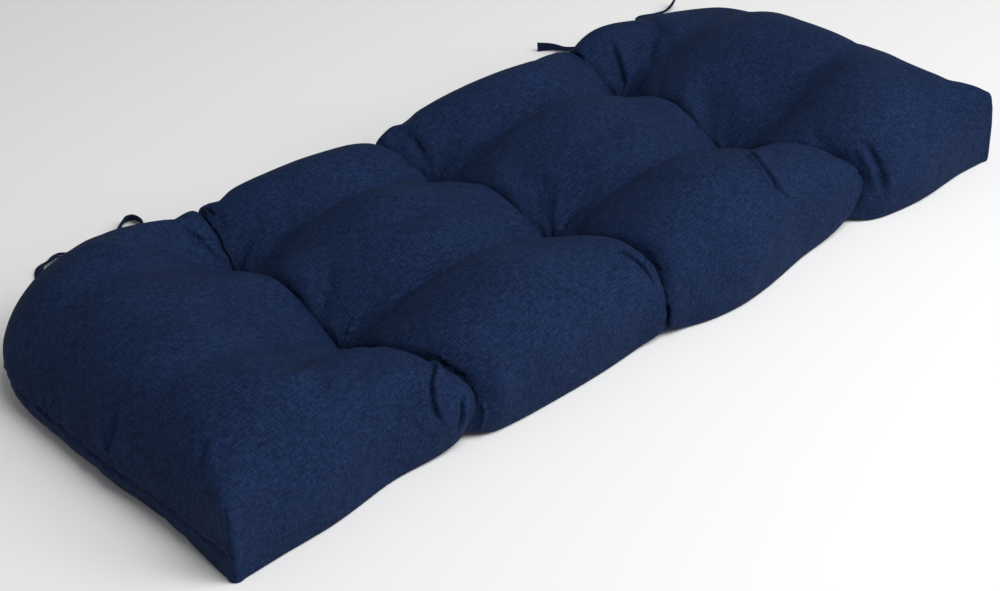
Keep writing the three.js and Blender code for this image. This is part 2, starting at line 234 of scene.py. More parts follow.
tapes = []
for node, rows in tie_routes.items():
    tape, middle = make_tape(node, rows)
    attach(tape, "root")
    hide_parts(node)
    tapes.append(tape)

# ---- Cushion ----
# One cover of linen-look outdoor cloth, folded round the front, sewn along both ends and
# the back, boxed at the front corners, filled with loose fibre and tufted in six places.
HALF_LENGTH = 0.527
HALF_DEPTH = 0.2285
BACK_CORNER_RADIUS = 0.118
SEAM_HEIGHT = 0.031
BOXED_HEIGHT = 0.088
SKELETON_INSET = 0.060

# The creases, from the front edge through the two tufts to the back edge, and their x.
crease_y = [-0.2285, -0.056, 0.123, 0.2285]
crease_x = [
    [-0.276, -0.276, -0.273, -0.260],
    [0.000, 0.002, -0.008, -0.036],
    [0.284, 0.273, 0.277, 0.268],
]
COLUMN_LINES = 36
ROW_LINES = (24, 24, 16)
SEAM_LINES = (4, 9)


def bunched(knots, counts, share=0.5):
    """Places from knot to knot, a little closer together at the knots."""
    places = []
    for a, b, count in zip(knots, knots[1:], counts):
        t = np.arange(count) / count
        places += list(a + (b - a) * ((1 - share) * t + share * (1 - np.cos(np.pi * t)) / 2))
    return np.array(places + [knots[-1]])


line_place = bunched([0, 1, 2, 3, 4], [COLUMN_LINES] * 4, 0.6)
row_y = bunched(crease_y, ROW_LINES)
level_z = bunched([0, SEAM_HEIGHT, BOXED_HEIGHT], SEAM_LINES, 0.6)
last_line, last_row, last_level = len(line_place) - 1, len(row_y) - 1, len(level_z) - 1
seam_level = SEAM_LINES[0]

shell = bmesh.new()
bmesh.ops.create_cube(shell, size=1)
for axis, count in enumerate((last_line, last_row, last_level)):
    across = [
        e for e in shell.edges
        if abs(e.verts[0].co[axis] - e.verts[1].co[axis]) > 0.5
    ]
    bmesh.ops.subdivide_edges(shell, edges=across, cuts=count - 1, use_grid_fill=True)
bmesh.ops.translate(shell, verts=shell.verts, vec=(0.5, 0.5, 0.5))
bmesh.ops.scale(shell, verts=shell.verts, vec=(last_line, last_row, last_level))
lattice = np.array([v.co[:] for v in shell.verts]).round().astype(int)


def fade(distance, reach):
    """1 at no distance, easing to 0 at the reach."""
    t = np.clip(1 - np.asarray(distance) / reach, 0, 1)
    return t * t * (3 - 2 * t)


# Between two tufts a valley bows towards the front, by this much and over this distance.
VALLEY_BOW = 0.015
BOW_REACH = 0.132


def valley_bow(x, y):
    """How far the valleys bow towards the front at a place in plan."""
    from_crease = np.min([abs(x - np.interp(y, crease_y, row)) for row in crease_x], axis=0)
    return VALLEY_BOW * (1 - fade(from_crease, BOW_REACH))


def line_x(line, y):
    """Where a lattice line runs at y, so that lines 1, 2 and 3 lie in the creases."""
    knots = [-HALF_LENGTH] + [np.interp(y, crease_y, row) for row in crease_x] + [HALF_LENGTH]
    return np.interp(line, range(5), knots)


def box_point(i, j, k):
    """A lattice point on a box with the cushion's rounded back corners."""
    y = row_y[j]
    x = line_x(line_place[i], y)
    y -= float(valley_bow(x, y)) * np.interp(y, crease_y, (0, 1, 1, 0))
    cx = HALF_LENGTH - BACK_CORNER_RADIUS
    cy = HALF_DEPTH - BACK_CORNER_RADIUS
    a = (abs(x) - cx) / BACK_CORNER_RADIUS
    b = (y - cy) / BACK_CORNER_RADIUS
    if a > 0 and b > 0:
        x = math.copysign(cx + BACK_CORNER_RADIUS * a * math.sqrt(1 - b * b / 2), x)
        y = cy + BACK_CORNER_RADIUS * b * math.sqrt(1 - a * a / 2)
    return Vector((x, y, level_z[k]))


def skeleton_point(p):
    """The nearest point of a flat skeleton inside the cushion, at the seam's height."""
    x_limit, y_limit = HALF_LENGTH - SKELETON_INSET, HALF_DEPTH - SKELETON_INSET
    x = min(max(p.x, -x_limit), x_limit)
    y = min(max(p.y, -y_limit), y_limit)
    cx, cy = HALF_LENGTH - BACK_CORNER_RADIUS, HALF_DEPTH - BACK_CORNER_RADIUS
    out = Vector((abs(p.x) - cx, p.y - cy))
    reach = BACK_CORNER_RADIUS - SKELETON_INSET
    if out.x > 0 and out.y > 0:
        out = out * min(1, reach / max(out.length, 1e-9))
        x, y = math.copysign(cx + out.x, p.x), cy + out.y
    return Vector((x, y, SEAM_HEIGHT))


solid = bmesh.new()
solid.from_mesh(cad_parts["cushion"].data)
bmesh.ops.remove_doubles(solid, verts=solid.verts, dist=1e-5)
bmesh.ops.join_triangles(
    solid, faces=solid.faces, angle_face_threshold=3.1, angle_shape_threshold=3.1)
smooth_data = bpy.data.meshes.new("smooth_solid")
solid.to_mesh(smooth_data)
solid.free()
smooth_solid = bpy.data.objects.new("smooth_solid", smooth_data)
scene.collection.objects.link(smooth_solid)
smooth_solid.modifiers.new("smooth", "SUBSURF").levels = 1
surface = BVHTree.FromObject(smooth_solid, bpy.context.evaluated_depsgraph_get())
bpy.data.objects.remove(smooth_solid)


CORNER_REACH = 0.055
corner_shift = {}
for v, (i, j, k) in zip(shell.verts, lattice):
    target = box_point(i, j, k)
    start = skeleton_point(target)
    v.co = surface.ray_cast(start, (target - start).normalized())[0]
    if i in (0, last_line) and j == 0:
        corner_shift[i, k] = target - v.co
for v, (i, j, k) in zip(shell.verts, lattice):
    side = 0 if v.co.x < 0 else last_line
    corner = Vector((math.copysign(HALF_LENGTH, v.co.x), -HALF_DEPTH))
    near = max(0, 1 - (v.co.xy - corner).length / CORNER_REACH)
    v.co += corner_shift[side, k] * near
    v.co.z = max(v.co.z, 0)

# Pushes of the stuffing: where, how far they reach, and how they move the cloth.
stuffing_pushes = [
    ((-0.272, -0.205, 0.052), 0.090, (0.037, -0.016, 0.002)),
    ((0.000, -0.185, 0.068), 0.075, (0.010, -0.010, 0.003)),
    ((0.283, -0.200, 0.050), 0.090, (0.038, -0.006, 0)),
    ((-0.018, 0.165, 0.072), 0.045, (0, 0, -0.008)),
    ((0.325, 0.210, 0.085), 0.075, (0, 0.003, 0.009)),
    ((0.440, 0.160, 0.110), 0.110, (0, 0, -0.006)),
    ((-0.262, 0.215, 0.070), 0.040, (0, 0, 0.006)),
    ((-0.020, 0.215, 0.090), 0.045, (0, 0, 0.005)),
    ((-0.540, -0.120, 0.010), 0.090, (0.007, 0, 0)),
    ((-0.345, -0.225, 0.020), 0.090, (0, 0.008, 0)),
    ((0.095, -0.225, 0.025), 0.130, (0, -0.014, 0)),
    ((0.000, -0.215, 0.020), 0.045, (0, -0.008, 0)),
    ((0.395, -0.225, 0.020), 0.100, (0, -0.008, 0)),
    ((0.527, -0.056, 0.090), 0.100, (0, 0, 0.002)),
    ((0.515, -0.180, 0.092), 0.070, (0, 0, 0.005)),
]
for place, reach, push in stuffing_pushes:
    for v in shell.verts:
        v.co += Vector(push) * float(fade((v.co - Vector(place)).length, reach))


def crease_and_tuft_distance(x, y):
    """How far places in plan lie from the nearest crease and the nearest row of tufts."""
    from_crease = np.min([abs(x - np.interp(y, crease_y, row)) for row in crease_x], axis=0)
    unbowed = y + valley_bow(x, y)
    return from_crease, np.minimum(abs(unbowed - crease_y[1]), abs(unbowed - crease_y[2]))


# The cells start a little flatter than they end up filled, and so do the dips between them.
CELL_SLACK = 0.005
DIP_SLACK = 0.009
for v in shell.verts:
    from_crease, from_tufts = crease_and_tuft_distance(v.co.x, v.co.y)
    inside = float(1 - fade(from_crease, 0.100))
    inside *= float(1 - fade(v.co.z - SEAM_HEIGHT, 0.060))
    dip = float(fade(from_tufts, 0.055) * fade(abs(v.co.x) - 0.30, 0.10))
    v.co.z -= inside * (DIP_SLACK * dip + CELL_SLACK * (1 - dip))

bmesh.ops.recalc_face_normals(shell, faces=shell.faces)
cover_data = bpy.data.meshes.new("cushion_shell")
shell.to_mesh(cover_data)
shell.free()
cover = bpy.data.objects.new("cushion_shell", cover_data)
scene.collection.objects.link(cover)
crease_lines = [COLUMN_LINES, 2 * COLUMN_LINES, 3 * COLUMN_LINES]
tuft_rows = [ROW_LINES[0], ROW_LINES[0] + ROW_LINES[1]]

# The filling: the cloth, cut a little longer than the shape, is blown up from inside, with
# its creases, tufts, seams and underside held.
FILLING_PRESSURE = 4.0
CLOTH_EASE = 0.03
FILL_FRAMES = 24
FILL_CAP = 0.012

before = np.array([v.co[:] for v in cover_data.vertices])
held = cover.vertex_groups.new(name="held")
for index, (i, j, k) in enumerate(lattice):
    weight = 0.0
    if i in crease_lines:
        weight = 0.97
    if k == seam_level and (i in (0, last_line) or j == last_row):
        weight = 0.9
    at_crease = min(abs(i - line) for line in crease_lines) <= 1
    at_tuft = at_crease and min(abs(j - row) for row in tuft_rows) <= 1
    at_corner = i in (0, last_line) and j == 0
    if k == 0 or at_corner or (k == last_level and at_tuft):
        weight = 1.0
    if weight:
        held.add([index], weight, "REPLACE")

filling = cover.modifiers.new("filling", "CLOTH")
filling.settings.quality = 6
filling.settings.mass = 0.3
filling.settings.tension_stiffness = 30
filling.settings.compression_stiffness = 30
filling.settings.shear_stiffness = 10
filling.settings.bending_stiffness = 1.0
filling.settings.use_pressure = True
filling.settings.uniform_pressure_force = FILLING_PRESSURE
filling.settings.effector_weights.gravity = 0
filling.settings.vertex_group_mass = "held"
filling.settings.shrink_min = -CLOTH_EASE
filling.collision_settings.use_collision = False
filling.point_cache.frame_start = 1
filling.point_cache.frame_end = FILL_FRAMES
for number in range(1, FILL_FRAMES + 1):
    scene.frame_set(number)
filled = cover.evaluated_get(bpy.context.evaluated_depsgraph_get())
move = np.array([v.co[:] for v in filled.to_mesh().vertices]) - before
filled.to_mesh_clear()
cover.modifiers.remove(filling)
scene.frame_set(1)
# The front faces, the boxed corners and the soft dips between two tufts give less.
x, y, z = before.T
from_crease, from_tufts = crease_and_tuft_distance(x, y)
share = 1 - 0.6 * fade(y + HALF_DEPTH, 0.080)
share *= 1 - 0.7 * fade(from_tufts, 0.045) * (1 - fade(from_crease, 0.090))
share *= 1 - fade(np.hypot(abs(x) - HALF_LENGTH, y + HALF_DEPTH), 0.110)
far = np.linalg.norm(move, axis=1)
move *= (share * np.minimum(1, FILL_CAP / np.maximum(far, 1e-9)))[:, None]
after = before + move
after[:, 2] = np.maximum(after[:, 2], 0)
cover_data.vertices.foreach_set("co", after.ravel())
cover_data.update()

# The cloth is laid flat for its weave: cut along the seams at the ends and the back, at the
# upright corner seams and round the underside, then scaled to metres.
cut = bmesh.new()
cut.from_mesh(cover_data)
cut.verts.ensure_lookup_table()
on_seam = {
    n for n, (i, j, k) in enumerate(lattice)
    if k == seam_level and (i in (0, last_line) or j == last_row)
}
on_corner = {n for n, (i, j, k) in enumerate(lattice) if i in (0, last_line) and j == 0}
on_foot = {
    n for n, (i, j, k) in enumerate(lattice)
    if k == 0 and (i in (0, last_line) or j in (0, last_row))
}
for edge in cut.edges:
    ends = {v.index for v in edge.verts}
    edge.seam = ends <= on_seam or ends <= on_corner or ends <= on_foot
cut.to_mesh(cover_data)
cut.free()
cover_data.uv_layers.new(name="cloth")
bpy.context.view_layer.objects.active = cover
cover.select_set(True)
bpy.ops.object.mode_set(mode="EDIT")
bpy.ops.mesh.select_all(action="SELECT")
bpy.ops.uv.unwrap(method="MINIMUM_STRETCH", margin=0.01, no_flip=True, iterations=12)
bpy.ops.object.mode_set(mode="OBJECT")

for name, column in zip(("line", "row", "level"), lattice.T):
    cover_data.attributes.new(name, "FLOAT", "POINT").data.foreach_set("value", column)

# One subdivision, applied.
finer = cover.modifiers.new("finer", "SUBSURF")
finer.levels = 1
finer.render_levels = 1
fine_data = bpy.data.meshes.new_from_object(
    cover.evaluated_get(bpy.context.evaluated_depsgraph_get()))
bpy.data.objects.remove(cover)
fine_data.name = "cushion_cover"
cover = bpy.data.objects.new("cushion_cover", fine_data)
scene.collection.objects.link(cover)
cover_data = fine_data
points = np.empty(len(cover_data.vertices) * 3)
cover_data.vertices.foreach_get("co", points)
points = points.reshape(-1, 3)
normals = np.empty(len(cover_data.vertices) * 3)
cover_data.vertex_normals.foreach_get("vector", normals)
normals = normals.reshape(-1, 3)
grid = []
for name in ("line", "row", "level"):
    column = np.empty(len(cover_data.vertices), np.float32)
    cover_data.attributes[name].data.foreach_get("value", column)
    grid.append(column)
    cover_data.attributes.remove(cover_data.attributes[name])
grid = (2 * np.array(grid).T).round().astype(int)

move = np.zeros_like(points)


def unit(vectors):
    return vectors / np.maximum(np.linalg.norm(vectors, axis=1), 1e-12)[:, None]



# The stitched-through creases are narrow slits. The cell on the left of each bulges over it.
SLIT_DEPTH = 0.0050
SLIT_WIDTH = 0.0032
LEFT_BULGE = 0.0035
RIGHT_BULGE = 0.0008
BULGE_REACH = 0.020

where = {tuple(place): n for n, place in enumerate(grid)}
above_foot = 1 - fade(points[:, 2] - 0.006, 0.020)
# Painted shade: how far the cloth's colour is darkened in the creases and round the tufts.
painted_crease_shade = np.zeros(len(points))
for line in crease_lines:
    near = np.flatnonzero(abs(grid[:, 0] - 2 * line) <= 30)
    own = np.array([where[2 * line, j, k] for _, j, k in grid[near]])
    gap = points[near] - points[own]
    away = np.linalg.norm(gap, axis=1)
    bulge = np.where(grid[near, 0] < 2 * line, LEFT_BULGE, RIGHT_BULGE)
    bulge = bulge * (1 - np.exp(-away / 0.004)) * np.exp(-away / BULGE_REACH)
    drop = SLIT_DEPTH * np.exp(-away / SLIT_WIDTH) * above_foot[near]
    toward = -unit(gap)
    move[near] += toward * (bulge * above_foot[near])[:, None]
    move[near] -= normals[own] * drop[:, None]
    # Painted shade darkens the cloth in and beside each slit.
    painted_crease_shade[near] = np.maximum(painted_crease_shade[near], np.exp(-away / 0.006) * above_foot[near])

# Each tuft draws the cloth to a stitch, with short uneven pleats round it.
TUFT_DROP = 0.006
TUFT_RADIUS = 0.006
PLEAT_DEPTH = 0.0012
rng = np.random.default_rng(7)
for line in crease_lines:
    for row in tuft_rows:
        tuft = points[where[2 * line, 2 * row, 2 * last_level]]
        out = points[:, :2] - tuft[:2]
        away = np.hypot(*out.T)
        near = np.flatnonzero((away < 0.045) & (grid[:, 2] == 2 * last_level))
        turn = np.arctan2(out[near, 1], out[near, 0])
        pleats = sum(
            np.sin(count * turn + rng.uniform(0, 2 * math.pi)) * share
            for count, share in ((5, 0.5), (8, 0.6), (13, 0.3)))
        ring = np.exp(-((away[near] - 0.014) / 0.009)**2)
        move[near, 2] -= TUFT_DROP * np.exp(-(away[near] / TUFT_RADIUS)**2)
        move[near] += normals[near] * (PLEAT_DEPTH * pleats * ring)[:, None]
        # Painted shade darkens the cloth round each tuft's stitch.
        painted_crease_shade[near] = np.maximum(painted_crease_shade[near], np.exp(-(away[near] / 0.012)**2))

# The seam along the ends and the back sits in a groove between small puckers, and the two
# upright corner seams pull their edge in a little.
GROOVE_DEPTH = 0.0014
GROOVE_WIDTH = 0.0024
PUCKER_DEPTH = 0.0007
PUCKER_REACH = 0.016
CORNER_PINCH = 0.0013
at_side = (grid[:, 0] == 0) | (grid[:, 0] == 2 * last_line) | (grid[:, 1] == 2 * last_row)
side_points = np.flatnonzero(at_side)
above_seam = points[side_points, 2] - SEAM_HEIGHT
round_edge = points[side_points, 0] - points[side_points, 1]
puckers = sum(
    np.sin(2 * math.pi * round_edge / length + rng.uniform(0, 2 * math.pi)) * share
    for length, share in ((0.013, 0.45), (0.019, 0.6), (0.031, 0.5)))
groove = -GROOVE_DEPTH * np.exp(-(above_seam / GROOVE_WIDTH)**2)
groove += PUCKER_DEPTH * puckers * fade(abs(above_seam), PUCKER_REACH)
groove += 0.0008 * np.exp(-((abs(above_seam) - 0.006) / 0.003)**2)
move[side_points] += normals[side_points] * groove[:, None]
# Painted shade darkens the cloth along the seam's groove.
seam = np.zeros(len(points))
seam[side_points] = np.exp(-(above_seam / 0.0026)**2)

for line in (0, 2 * last_line):
    edge_points = points[[where[line, 0, k] for k in range(2 * last_level + 1)]]
    near = np.flatnonzero(
        (abs(grid[:, 0] - line) <= 8) & (grid[:, 1] <= 8) & (points[:, 2] < 0.1))
    gap = points[near][:, None] - edge_points[None]
    away = np.sqrt((gap**2).sum(2).min(1))
    pinch = 0.0008 * np.exp(-((away - 0.006) / 0.003)**2) - CORNER_PINCH * np.exp(-(away / 0.002)**2)
    move[near] += normals[near] * pinch[:, None]
    # Painted shade darkens the cloth along the corner seams too.
    seam[near] = np.maximum(seam[near], np.exp(-(away / 0.0022)**2))

points += move
# The painted shade of the creases, tufts and seams is kept on the cover as two attributes.
for name, values in (("painted_crease_shade", painted_crease_shade), ("seam", seam)):
    cover_data.attributes.new(name, "FLOAT", "POINT").data.foreach_set("value", values)
cover_data.vertices.foreach_set("co", points.ravel())
cover_data.update()

# Folds that the photograph shows beside the creases, at the left end and behind the tufts.
# Each has its two ends on the cloth, how far it bows to its left on the way, its width, the
# rise of its lip, its depth, the roll of the lip over it, and the fading of its two ends.
folds = [
    # Front crease 1: a tuck, one inside it, a faint one, and a ridge on the far side.
    ((-0.260, -0.166, 0.076), (-0.282, -0.224, 0.036), -0.017,
     0.0045, 0.0024, 0.003, 0.0022, 0.35, 0.3),
    ((-0.260, -0.218, 0.058), (-0.272, -0.224, 0.026), 0.003,
     0.004, 0.0012, 0.003, 0.001, 0.25, 0.2),
    ((-0.292, -0.212, 0.070), (-0.296, -0.220, 0.046), 0,
     0.005, 0, 0.0012, 0, 0.4, 0.4),
    ((-0.236, -0.218, 0.044), (-0.244, -0.216, 0.008), 0.005,
     0.004, 0, -0.0018, 0, 0.3, 0.3),
    # Front crease 2: a fold that hugs the edge, one behind it, a pucker and a streak.
    ((-0.034, -0.172, 0.100), (-0.008, -0.218, 0.056), 0.009,
     0.0038, 0.002, 0.0026, 0.0014, 0.3, 0.35),
    ((-0.004, -0.192, 0.086), (0.004, -0.210, 0.066), 0,
     0.0035, 0.001, 0.0016, 0.0006, 0.4, 0.4),
    ((-0.040, -0.184, 0.096), (-0.042, -0.200, 0.086), 0.001,
     0.004, 0, 0.0012, 0, 0.4, 0.4),
    ((0.004, -0.224, 0.040), (0.004, -0.224, 0.008), -0.001,
     0.004, 0.001, 0.0024, 0, 0.2, 0.3),
    # Front crease 3: a wedge-shaped tuck, its near lip, and a roll on the far side.
    ((0.212, -0.144, 0.100), (0.206, -0.212, 0.066), -0.025,
     0.005, 0.0012, 0.0032, 0.0012, 0.2, 0.4),
    ((0.192, -0.156, 0.110), (0.180, -0.206, 0.088), -0.007,
     0.0038, 0, -0.0024, 0, 0.2, 0.45),
    ((0.336, -0.228, 0.026), (0.332, -0.190, 0.090), -0.007,
     0.008, 0.0022, 0.0032, 0, 0.3, 0.3),
    # Back crease 1: a long fold, a thin ridge above it, and a hook at the top.
    ((-0.300, 0.176, 0.088), (-0.282, 0.132, 0.050), 0.003,
     0.006, 0.0016, 0.002, 0.0008, 0.45, 0.3),
    ((-0.296, 0.180, 0.092), (-0.280, 0.160, 0.072), -0.002,
     0.0035, 0, -0.002, 0, 0.3, 0.3),
    ((-0.260, 0.192, 0.086), (-0.260, 0.176, 0.084), 0.002,
     0.0035, 0, 0.0025, 0, 0.3, 0.3),
    # Back crease 2: a thin ridge and a pleat.
    ((-0.042, 0.164, 0.084), (-0.016, 0.156, 0.064), -0.005,
     0.0035, 0, -0.0018, 0, 0.3, 0.3),
    ((0.004, 0.172, 0.080), (0.000, 0.148, 0.064), 0,
     0.005, 0, 0.0016, 0, 0.4, 0.3),
    # Back crease 3: a thin ridge, a pleat from the tuft and a soft pleat.
    ((0.268, 0.180, 0.080), (0.272, 0.156, 0.070), 0.001,
     0.0035, 0, -0.0018, 0, 0.3, 0.3),
    ((0.314, 0.184, 0.096), (0.286, 0.124, 0.048), 0.004,
     0.0075, 0.0016, 0.0022, 0.0004, 0.45, 0.2),
    ((0.360, 0.148, 0.088), (0.324, 0.120, 0.070), 0,
     0.009, 0.0008, 0.0024, 0, 0.4, 0.4),
    # Left end: three puckers above the seam.
    ((-0.506, -0.032, 0.092), (-0.532, -0.040, 0.042), 0.005,
     0.012, 0.0016, 0.0032, 0, 0.4, 0.1),
    ((-0.492, -0.152, 0.102), (-0.512, -0.168, 0.086), 0,
     0.009, 0.001, 0.0022, 0, 0.4, 0.1),
    ((-0.528, 0.068, 0.056), (-0.536, 0.058, 0.032), -0.002,
     0.009, 0.0008, 0.0018, 0, 0.4, 0.1),
    # Two ridges behind the front tufts.
    ((0.008, -0.056, 0.044), (0.048, -0.022, 0.080), 0.001,
     0.009, 0, -0.0018, 0, 0.15, 0.5),
    ((-0.266, -0.052, 0.048), (-0.234, -0.044, 0.064), 0,
     0.009, 0, -0.0018, 0, 0.15, 0.5),
]

# The cloth along the folds is cut finer first.
FOLD_REACH = 2.6
fine = bmesh.new()
fine.from_mesh(cover_data)
centres = np.array([f.calc_center_median()[:] for f in fine.faces])
fine.faces.ensure_lookup_table()
cloth_surface = BVHTree.FromBMesh(fine)


def fold_line(start, end, bow):
    """Points a millimetre apart over the cloth from start to end, bowed to their left."""
    start, end = Vector(start), Vector(end)
    route = []
    for t in np.linspace(0, 1, 9):
        place, normal, _, _ = cloth_surface.find_nearest(start.lerp(end, t))
        place += normal.cross(end - start).normalized() * bow * 4 * t * (1 - t)
        route.append(cloth_surface.find_nearest(place)[0][:])
    return smooth_route(route, 0.001)


fold_lines = [fold_line(start, end, bow) for start, end, bow, *_ in folds]
near_folds = set()
for line, (_, _, _, width, *_) in zip(fold_lines, folds):
    reach = FOLD_REACH * width + 0.003
    box = ((centres > line.min(0) - reach) & (centres < line.max(0) + reach)).all(1)
    for n in np.flatnonzero(box):
        if ((line - centres[n])**2).sum(1).min() < reach**2:
            near_folds.update(fine.faces[n].edges)
bmesh.ops.subdivide_edges(
    fine, edges=sorted(near_folds, key=lambda e: e.index), cuts=2, use_grid_fill=True, smooth=1.0)
fine.to_mesh(cover_data)
fine.free()
points = np.empty(len(cover_data.vertices) * 3)
cover_data.vertices.foreach_get("co", points)
points = points.reshape(-1, 3)
normals = np.empty(len(cover_data.vertices) * 3)
cover_data.vertex_normals.foreach_get("vector", normals)
normals = normals.reshape(-1, 3)

move = np.zeros_like(points)
FOLD_SHARE = 1.5


def fold_cloth(line, width, rise, dip, roll, fade_in, fade_out):
    """Lays one fold, its lip to the left of its line, into the cover."""
    tangents = unit(np.gradient(line, axis=0))
    margin = 4 * width
    inside = (points > line.min(0) - margin) & (points < line.max(0) + margin)
    near = np.flatnonzero(inside.all(1))
    gap = points[near][:, None] - line[None]
    nearest = (gap**2).sum(2).argmin(1)
    gap = gap[np.arange(len(near)), nearest]
    tangent = tangents[nearest]
    leftward = unit(np.cross(normals[near], tangent))
    side = (gap * leftward).sum(1) / width
    beyond = (gap * tangent).sum(1) / width
    along = nearest / (len(line) - 1)
    strength = (1 - fade(along, fade_in)) * (1 - fade(1 - along, fade_out))
    strength *= np.exp(-beyond**2)
    height = FOLD_SHARE * rise * np.exp(-((side - 1.1) / 0.7)**2) - FOLD_SHARE * dip * np.exp(-(side / 0.6)**2)
    slide = FOLD_SHARE * roll * np.exp(-((side - 0.9) / 0.7)**2)
    move[near] += normals[near] * (height * strength)[:, None]
    move[near] -= leftward * (slide * strength)[:, None]


for line, (_, _, _, *sizes) in zip(fold_lines, folds):
    fold_cloth(line, *sizes)

at_rest = points[:, 2] < 0.0008
points += move
points[:, 2] = np.maximum(points[:, 2], 0)
points[at_rest, 2] = np.minimum(points[at_rest, 2], 0.0008)
cover_data.vertices.foreach_set("co", points.ravel())
cover_data.update()
for polygon in cover_data.polygons:
    polygon.use_smooth = True

# UVs to metres, turned so that u runs along the cushion and v up its depth.
uv_layer = cover_data.uv_layers["cloth"]
uv = np.empty(len(cover_data.loops) * 2)
uv_layer.data.foreach_get("uv", uv)
uv = uv.reshape(-1, 2)
corner_vertex = np.empty(len(cover_data.loops), int)
cover_data.loops.foreach_get("vertex_index", corner_vertex)
wrapped = [(p.loop_start, p.loop_total, p.center.z, p.normal.z) for p in cover_data.polygons]
on_top = np.zeros(len(uv), bool)
for start, total, height, upward in wrapped:
    if height > 0.05 and upward > 0.75:
        on_top[start:start + total] = True
flat = uv[on_top] - uv[on_top].mean(0)
plan = points[corner_vertex[on_top], :2]
plan = plan - plan.mean(0)
turn, _, _, _ = np.linalg.lstsq(flat, plan, rcond=None)
left, size, right_turn = np.linalg.svd(turn)
rotation = left @ right_turn
area_uv = sum(
    abs(sum(uv[k, 0] * uv[k2, 1] - uv[k2, 0] * uv[k, 1] for k, k2 in (
        (start + m, start + (m + 1) % total) for m in range(total)))) / 2
    for start, total, height, upward in wrapped[::7])
area = sum(cover_data.polygons[n].area for n in range(0, len(wrapped), 7))
uv = uv @ rotation * math.sqrt(area / area_uv)
uv_layer.data.foreach_set("uv", uv.ravel())

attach(cover, "root")
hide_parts("cushion")

def add_node(tree, kind, inputs=None, **settings):
    """A node with its settings, and its inputs set to values or linked to outputs."""
    node = tree.nodes.new(kind)
    for name, value in settings.items():
        setattr(node, name, value)
    for name, value in (inputs or {}).items():
        if isinstance(value, bpy.types.NodeSocket):
            tree.links.new(value, node.inputs[name])
        else:
            node.inputs[name].default_value = value
    return node


def streaks(tree, place, along, across, seed):
    """Long thin slubs: noise drawn out along the yarn. Frequencies in cycles a metre."""
    stretched = add_node(
        tree, "ShaderNodeVectorMath", {0: place, 1: (along, across, 1), 2: (seed, seed, 0)},
        operation="MULTIPLY_ADD")
    return add_node(
        tree, "ShaderNodeTexNoise",
        {"Vector": stretched.outputs[0], "Scale": 1.0, "Detail": 2.0, "Roughness": 0.55},
    ).outputs["Fac"]


def combine(tree, operation, a, b, c=0.0):
    return add_node(tree, "ShaderNodeMath", {0: a, 1: b, 2: c}, operation=operation).outputs[0]


# The cloth's weave: yarns of uneven thickness both ways, a plain over-and-under weave, and
# a slow drift of shade. It takes a place on the cloth in metres.
YARNS_PER_METRE = 900
weave = bpy.data.node_groups.new("linen_weave", "ShaderNodeTree")
weave.interface.new_socket("Place", in_out="INPUT", socket_type="NodeSocketVector")
weave.interface.new_socket("Shade", in_out="OUTPUT", socket_type="NodeSocketFloat")
weave.interface.new_socket("Height", in_out="OUTPUT", socket_type="NodeSocketFloat")
place_in = add_node(weave, "NodeGroupInput").outputs["Place"]
slubs = [
    (streaks(weave, place_in, 75, 620, 3.1), 0.95),
    (streaks(weave, place_in, 620, 75, 7.7), 0.80),
    (streaks(weave, place_in, 180, 950, 12.3), 0.90),
    (streaks(weave, place_in, 950, 180, 17.9), 0.85),
    (streaks(weave, place_in, 16, 16, 23.5), 0.25),
]
shade = 0.5
for fac, share in slubs:
    centred = combine(weave, "SUBTRACT", fac, 0.5)
    shade = combine(weave, "MULTIPLY_ADD", centred, share, shade)
shade = combine(weave, "MULTIPLY", combine(weave, "POWER", combine(weave, "MAXIMUM", shade, 0.0), 1.8), 1.6)
split = add_node(weave, "ShaderNodeSeparateXYZ", {0: place_in})
waves = [
    combine(weave, "SINE", combine(weave, "MULTIPLY", split.outputs[n], math.pi * YARNS_PER_METRE), 0.0)
    for n in (0, 1)
]
over_under = combine(weave, "MULTIPLY", waves[0], waves[1])
weave_height = combine(weave, "MULTIPLY_ADD", over_under, 0.18, shade)
group_out = add_node(weave, "NodeGroupOutput")
weave.links.new(shade, group_out.inputs["Shade"])
weave.links.new(weave_height, group_out.inputs["Height"])

# The cover's cloth: navy yarn, with painted shade darkening it in the creases, round the tufts
# and along the seams, and a little paler where the crowns of the cells are rubbed.
cloth = bpy.data.materials.new("navy_linen")
cloth.use_nodes = True
tree = cloth.node_tree
shader = tree.nodes["Principled BSDF"]
on_cloth = add_node(tree, "ShaderNodeUVMap", uv_map="cloth").outputs["UV"]
linen = add_node(tree, "ShaderNodeGroup", {}, node_tree=weave)
tree.links.new(on_cloth, linen.inputs["Place"])
yarn = add_node(
    tree, "ShaderNodeMix",
    {"Factor": linen.outputs["Shade"], "A": (0.0016, 0.0068, 0.0270, 1), "B": (0.0112, 0.0285, 0.0870, 1)},
    data_type="RGBA")
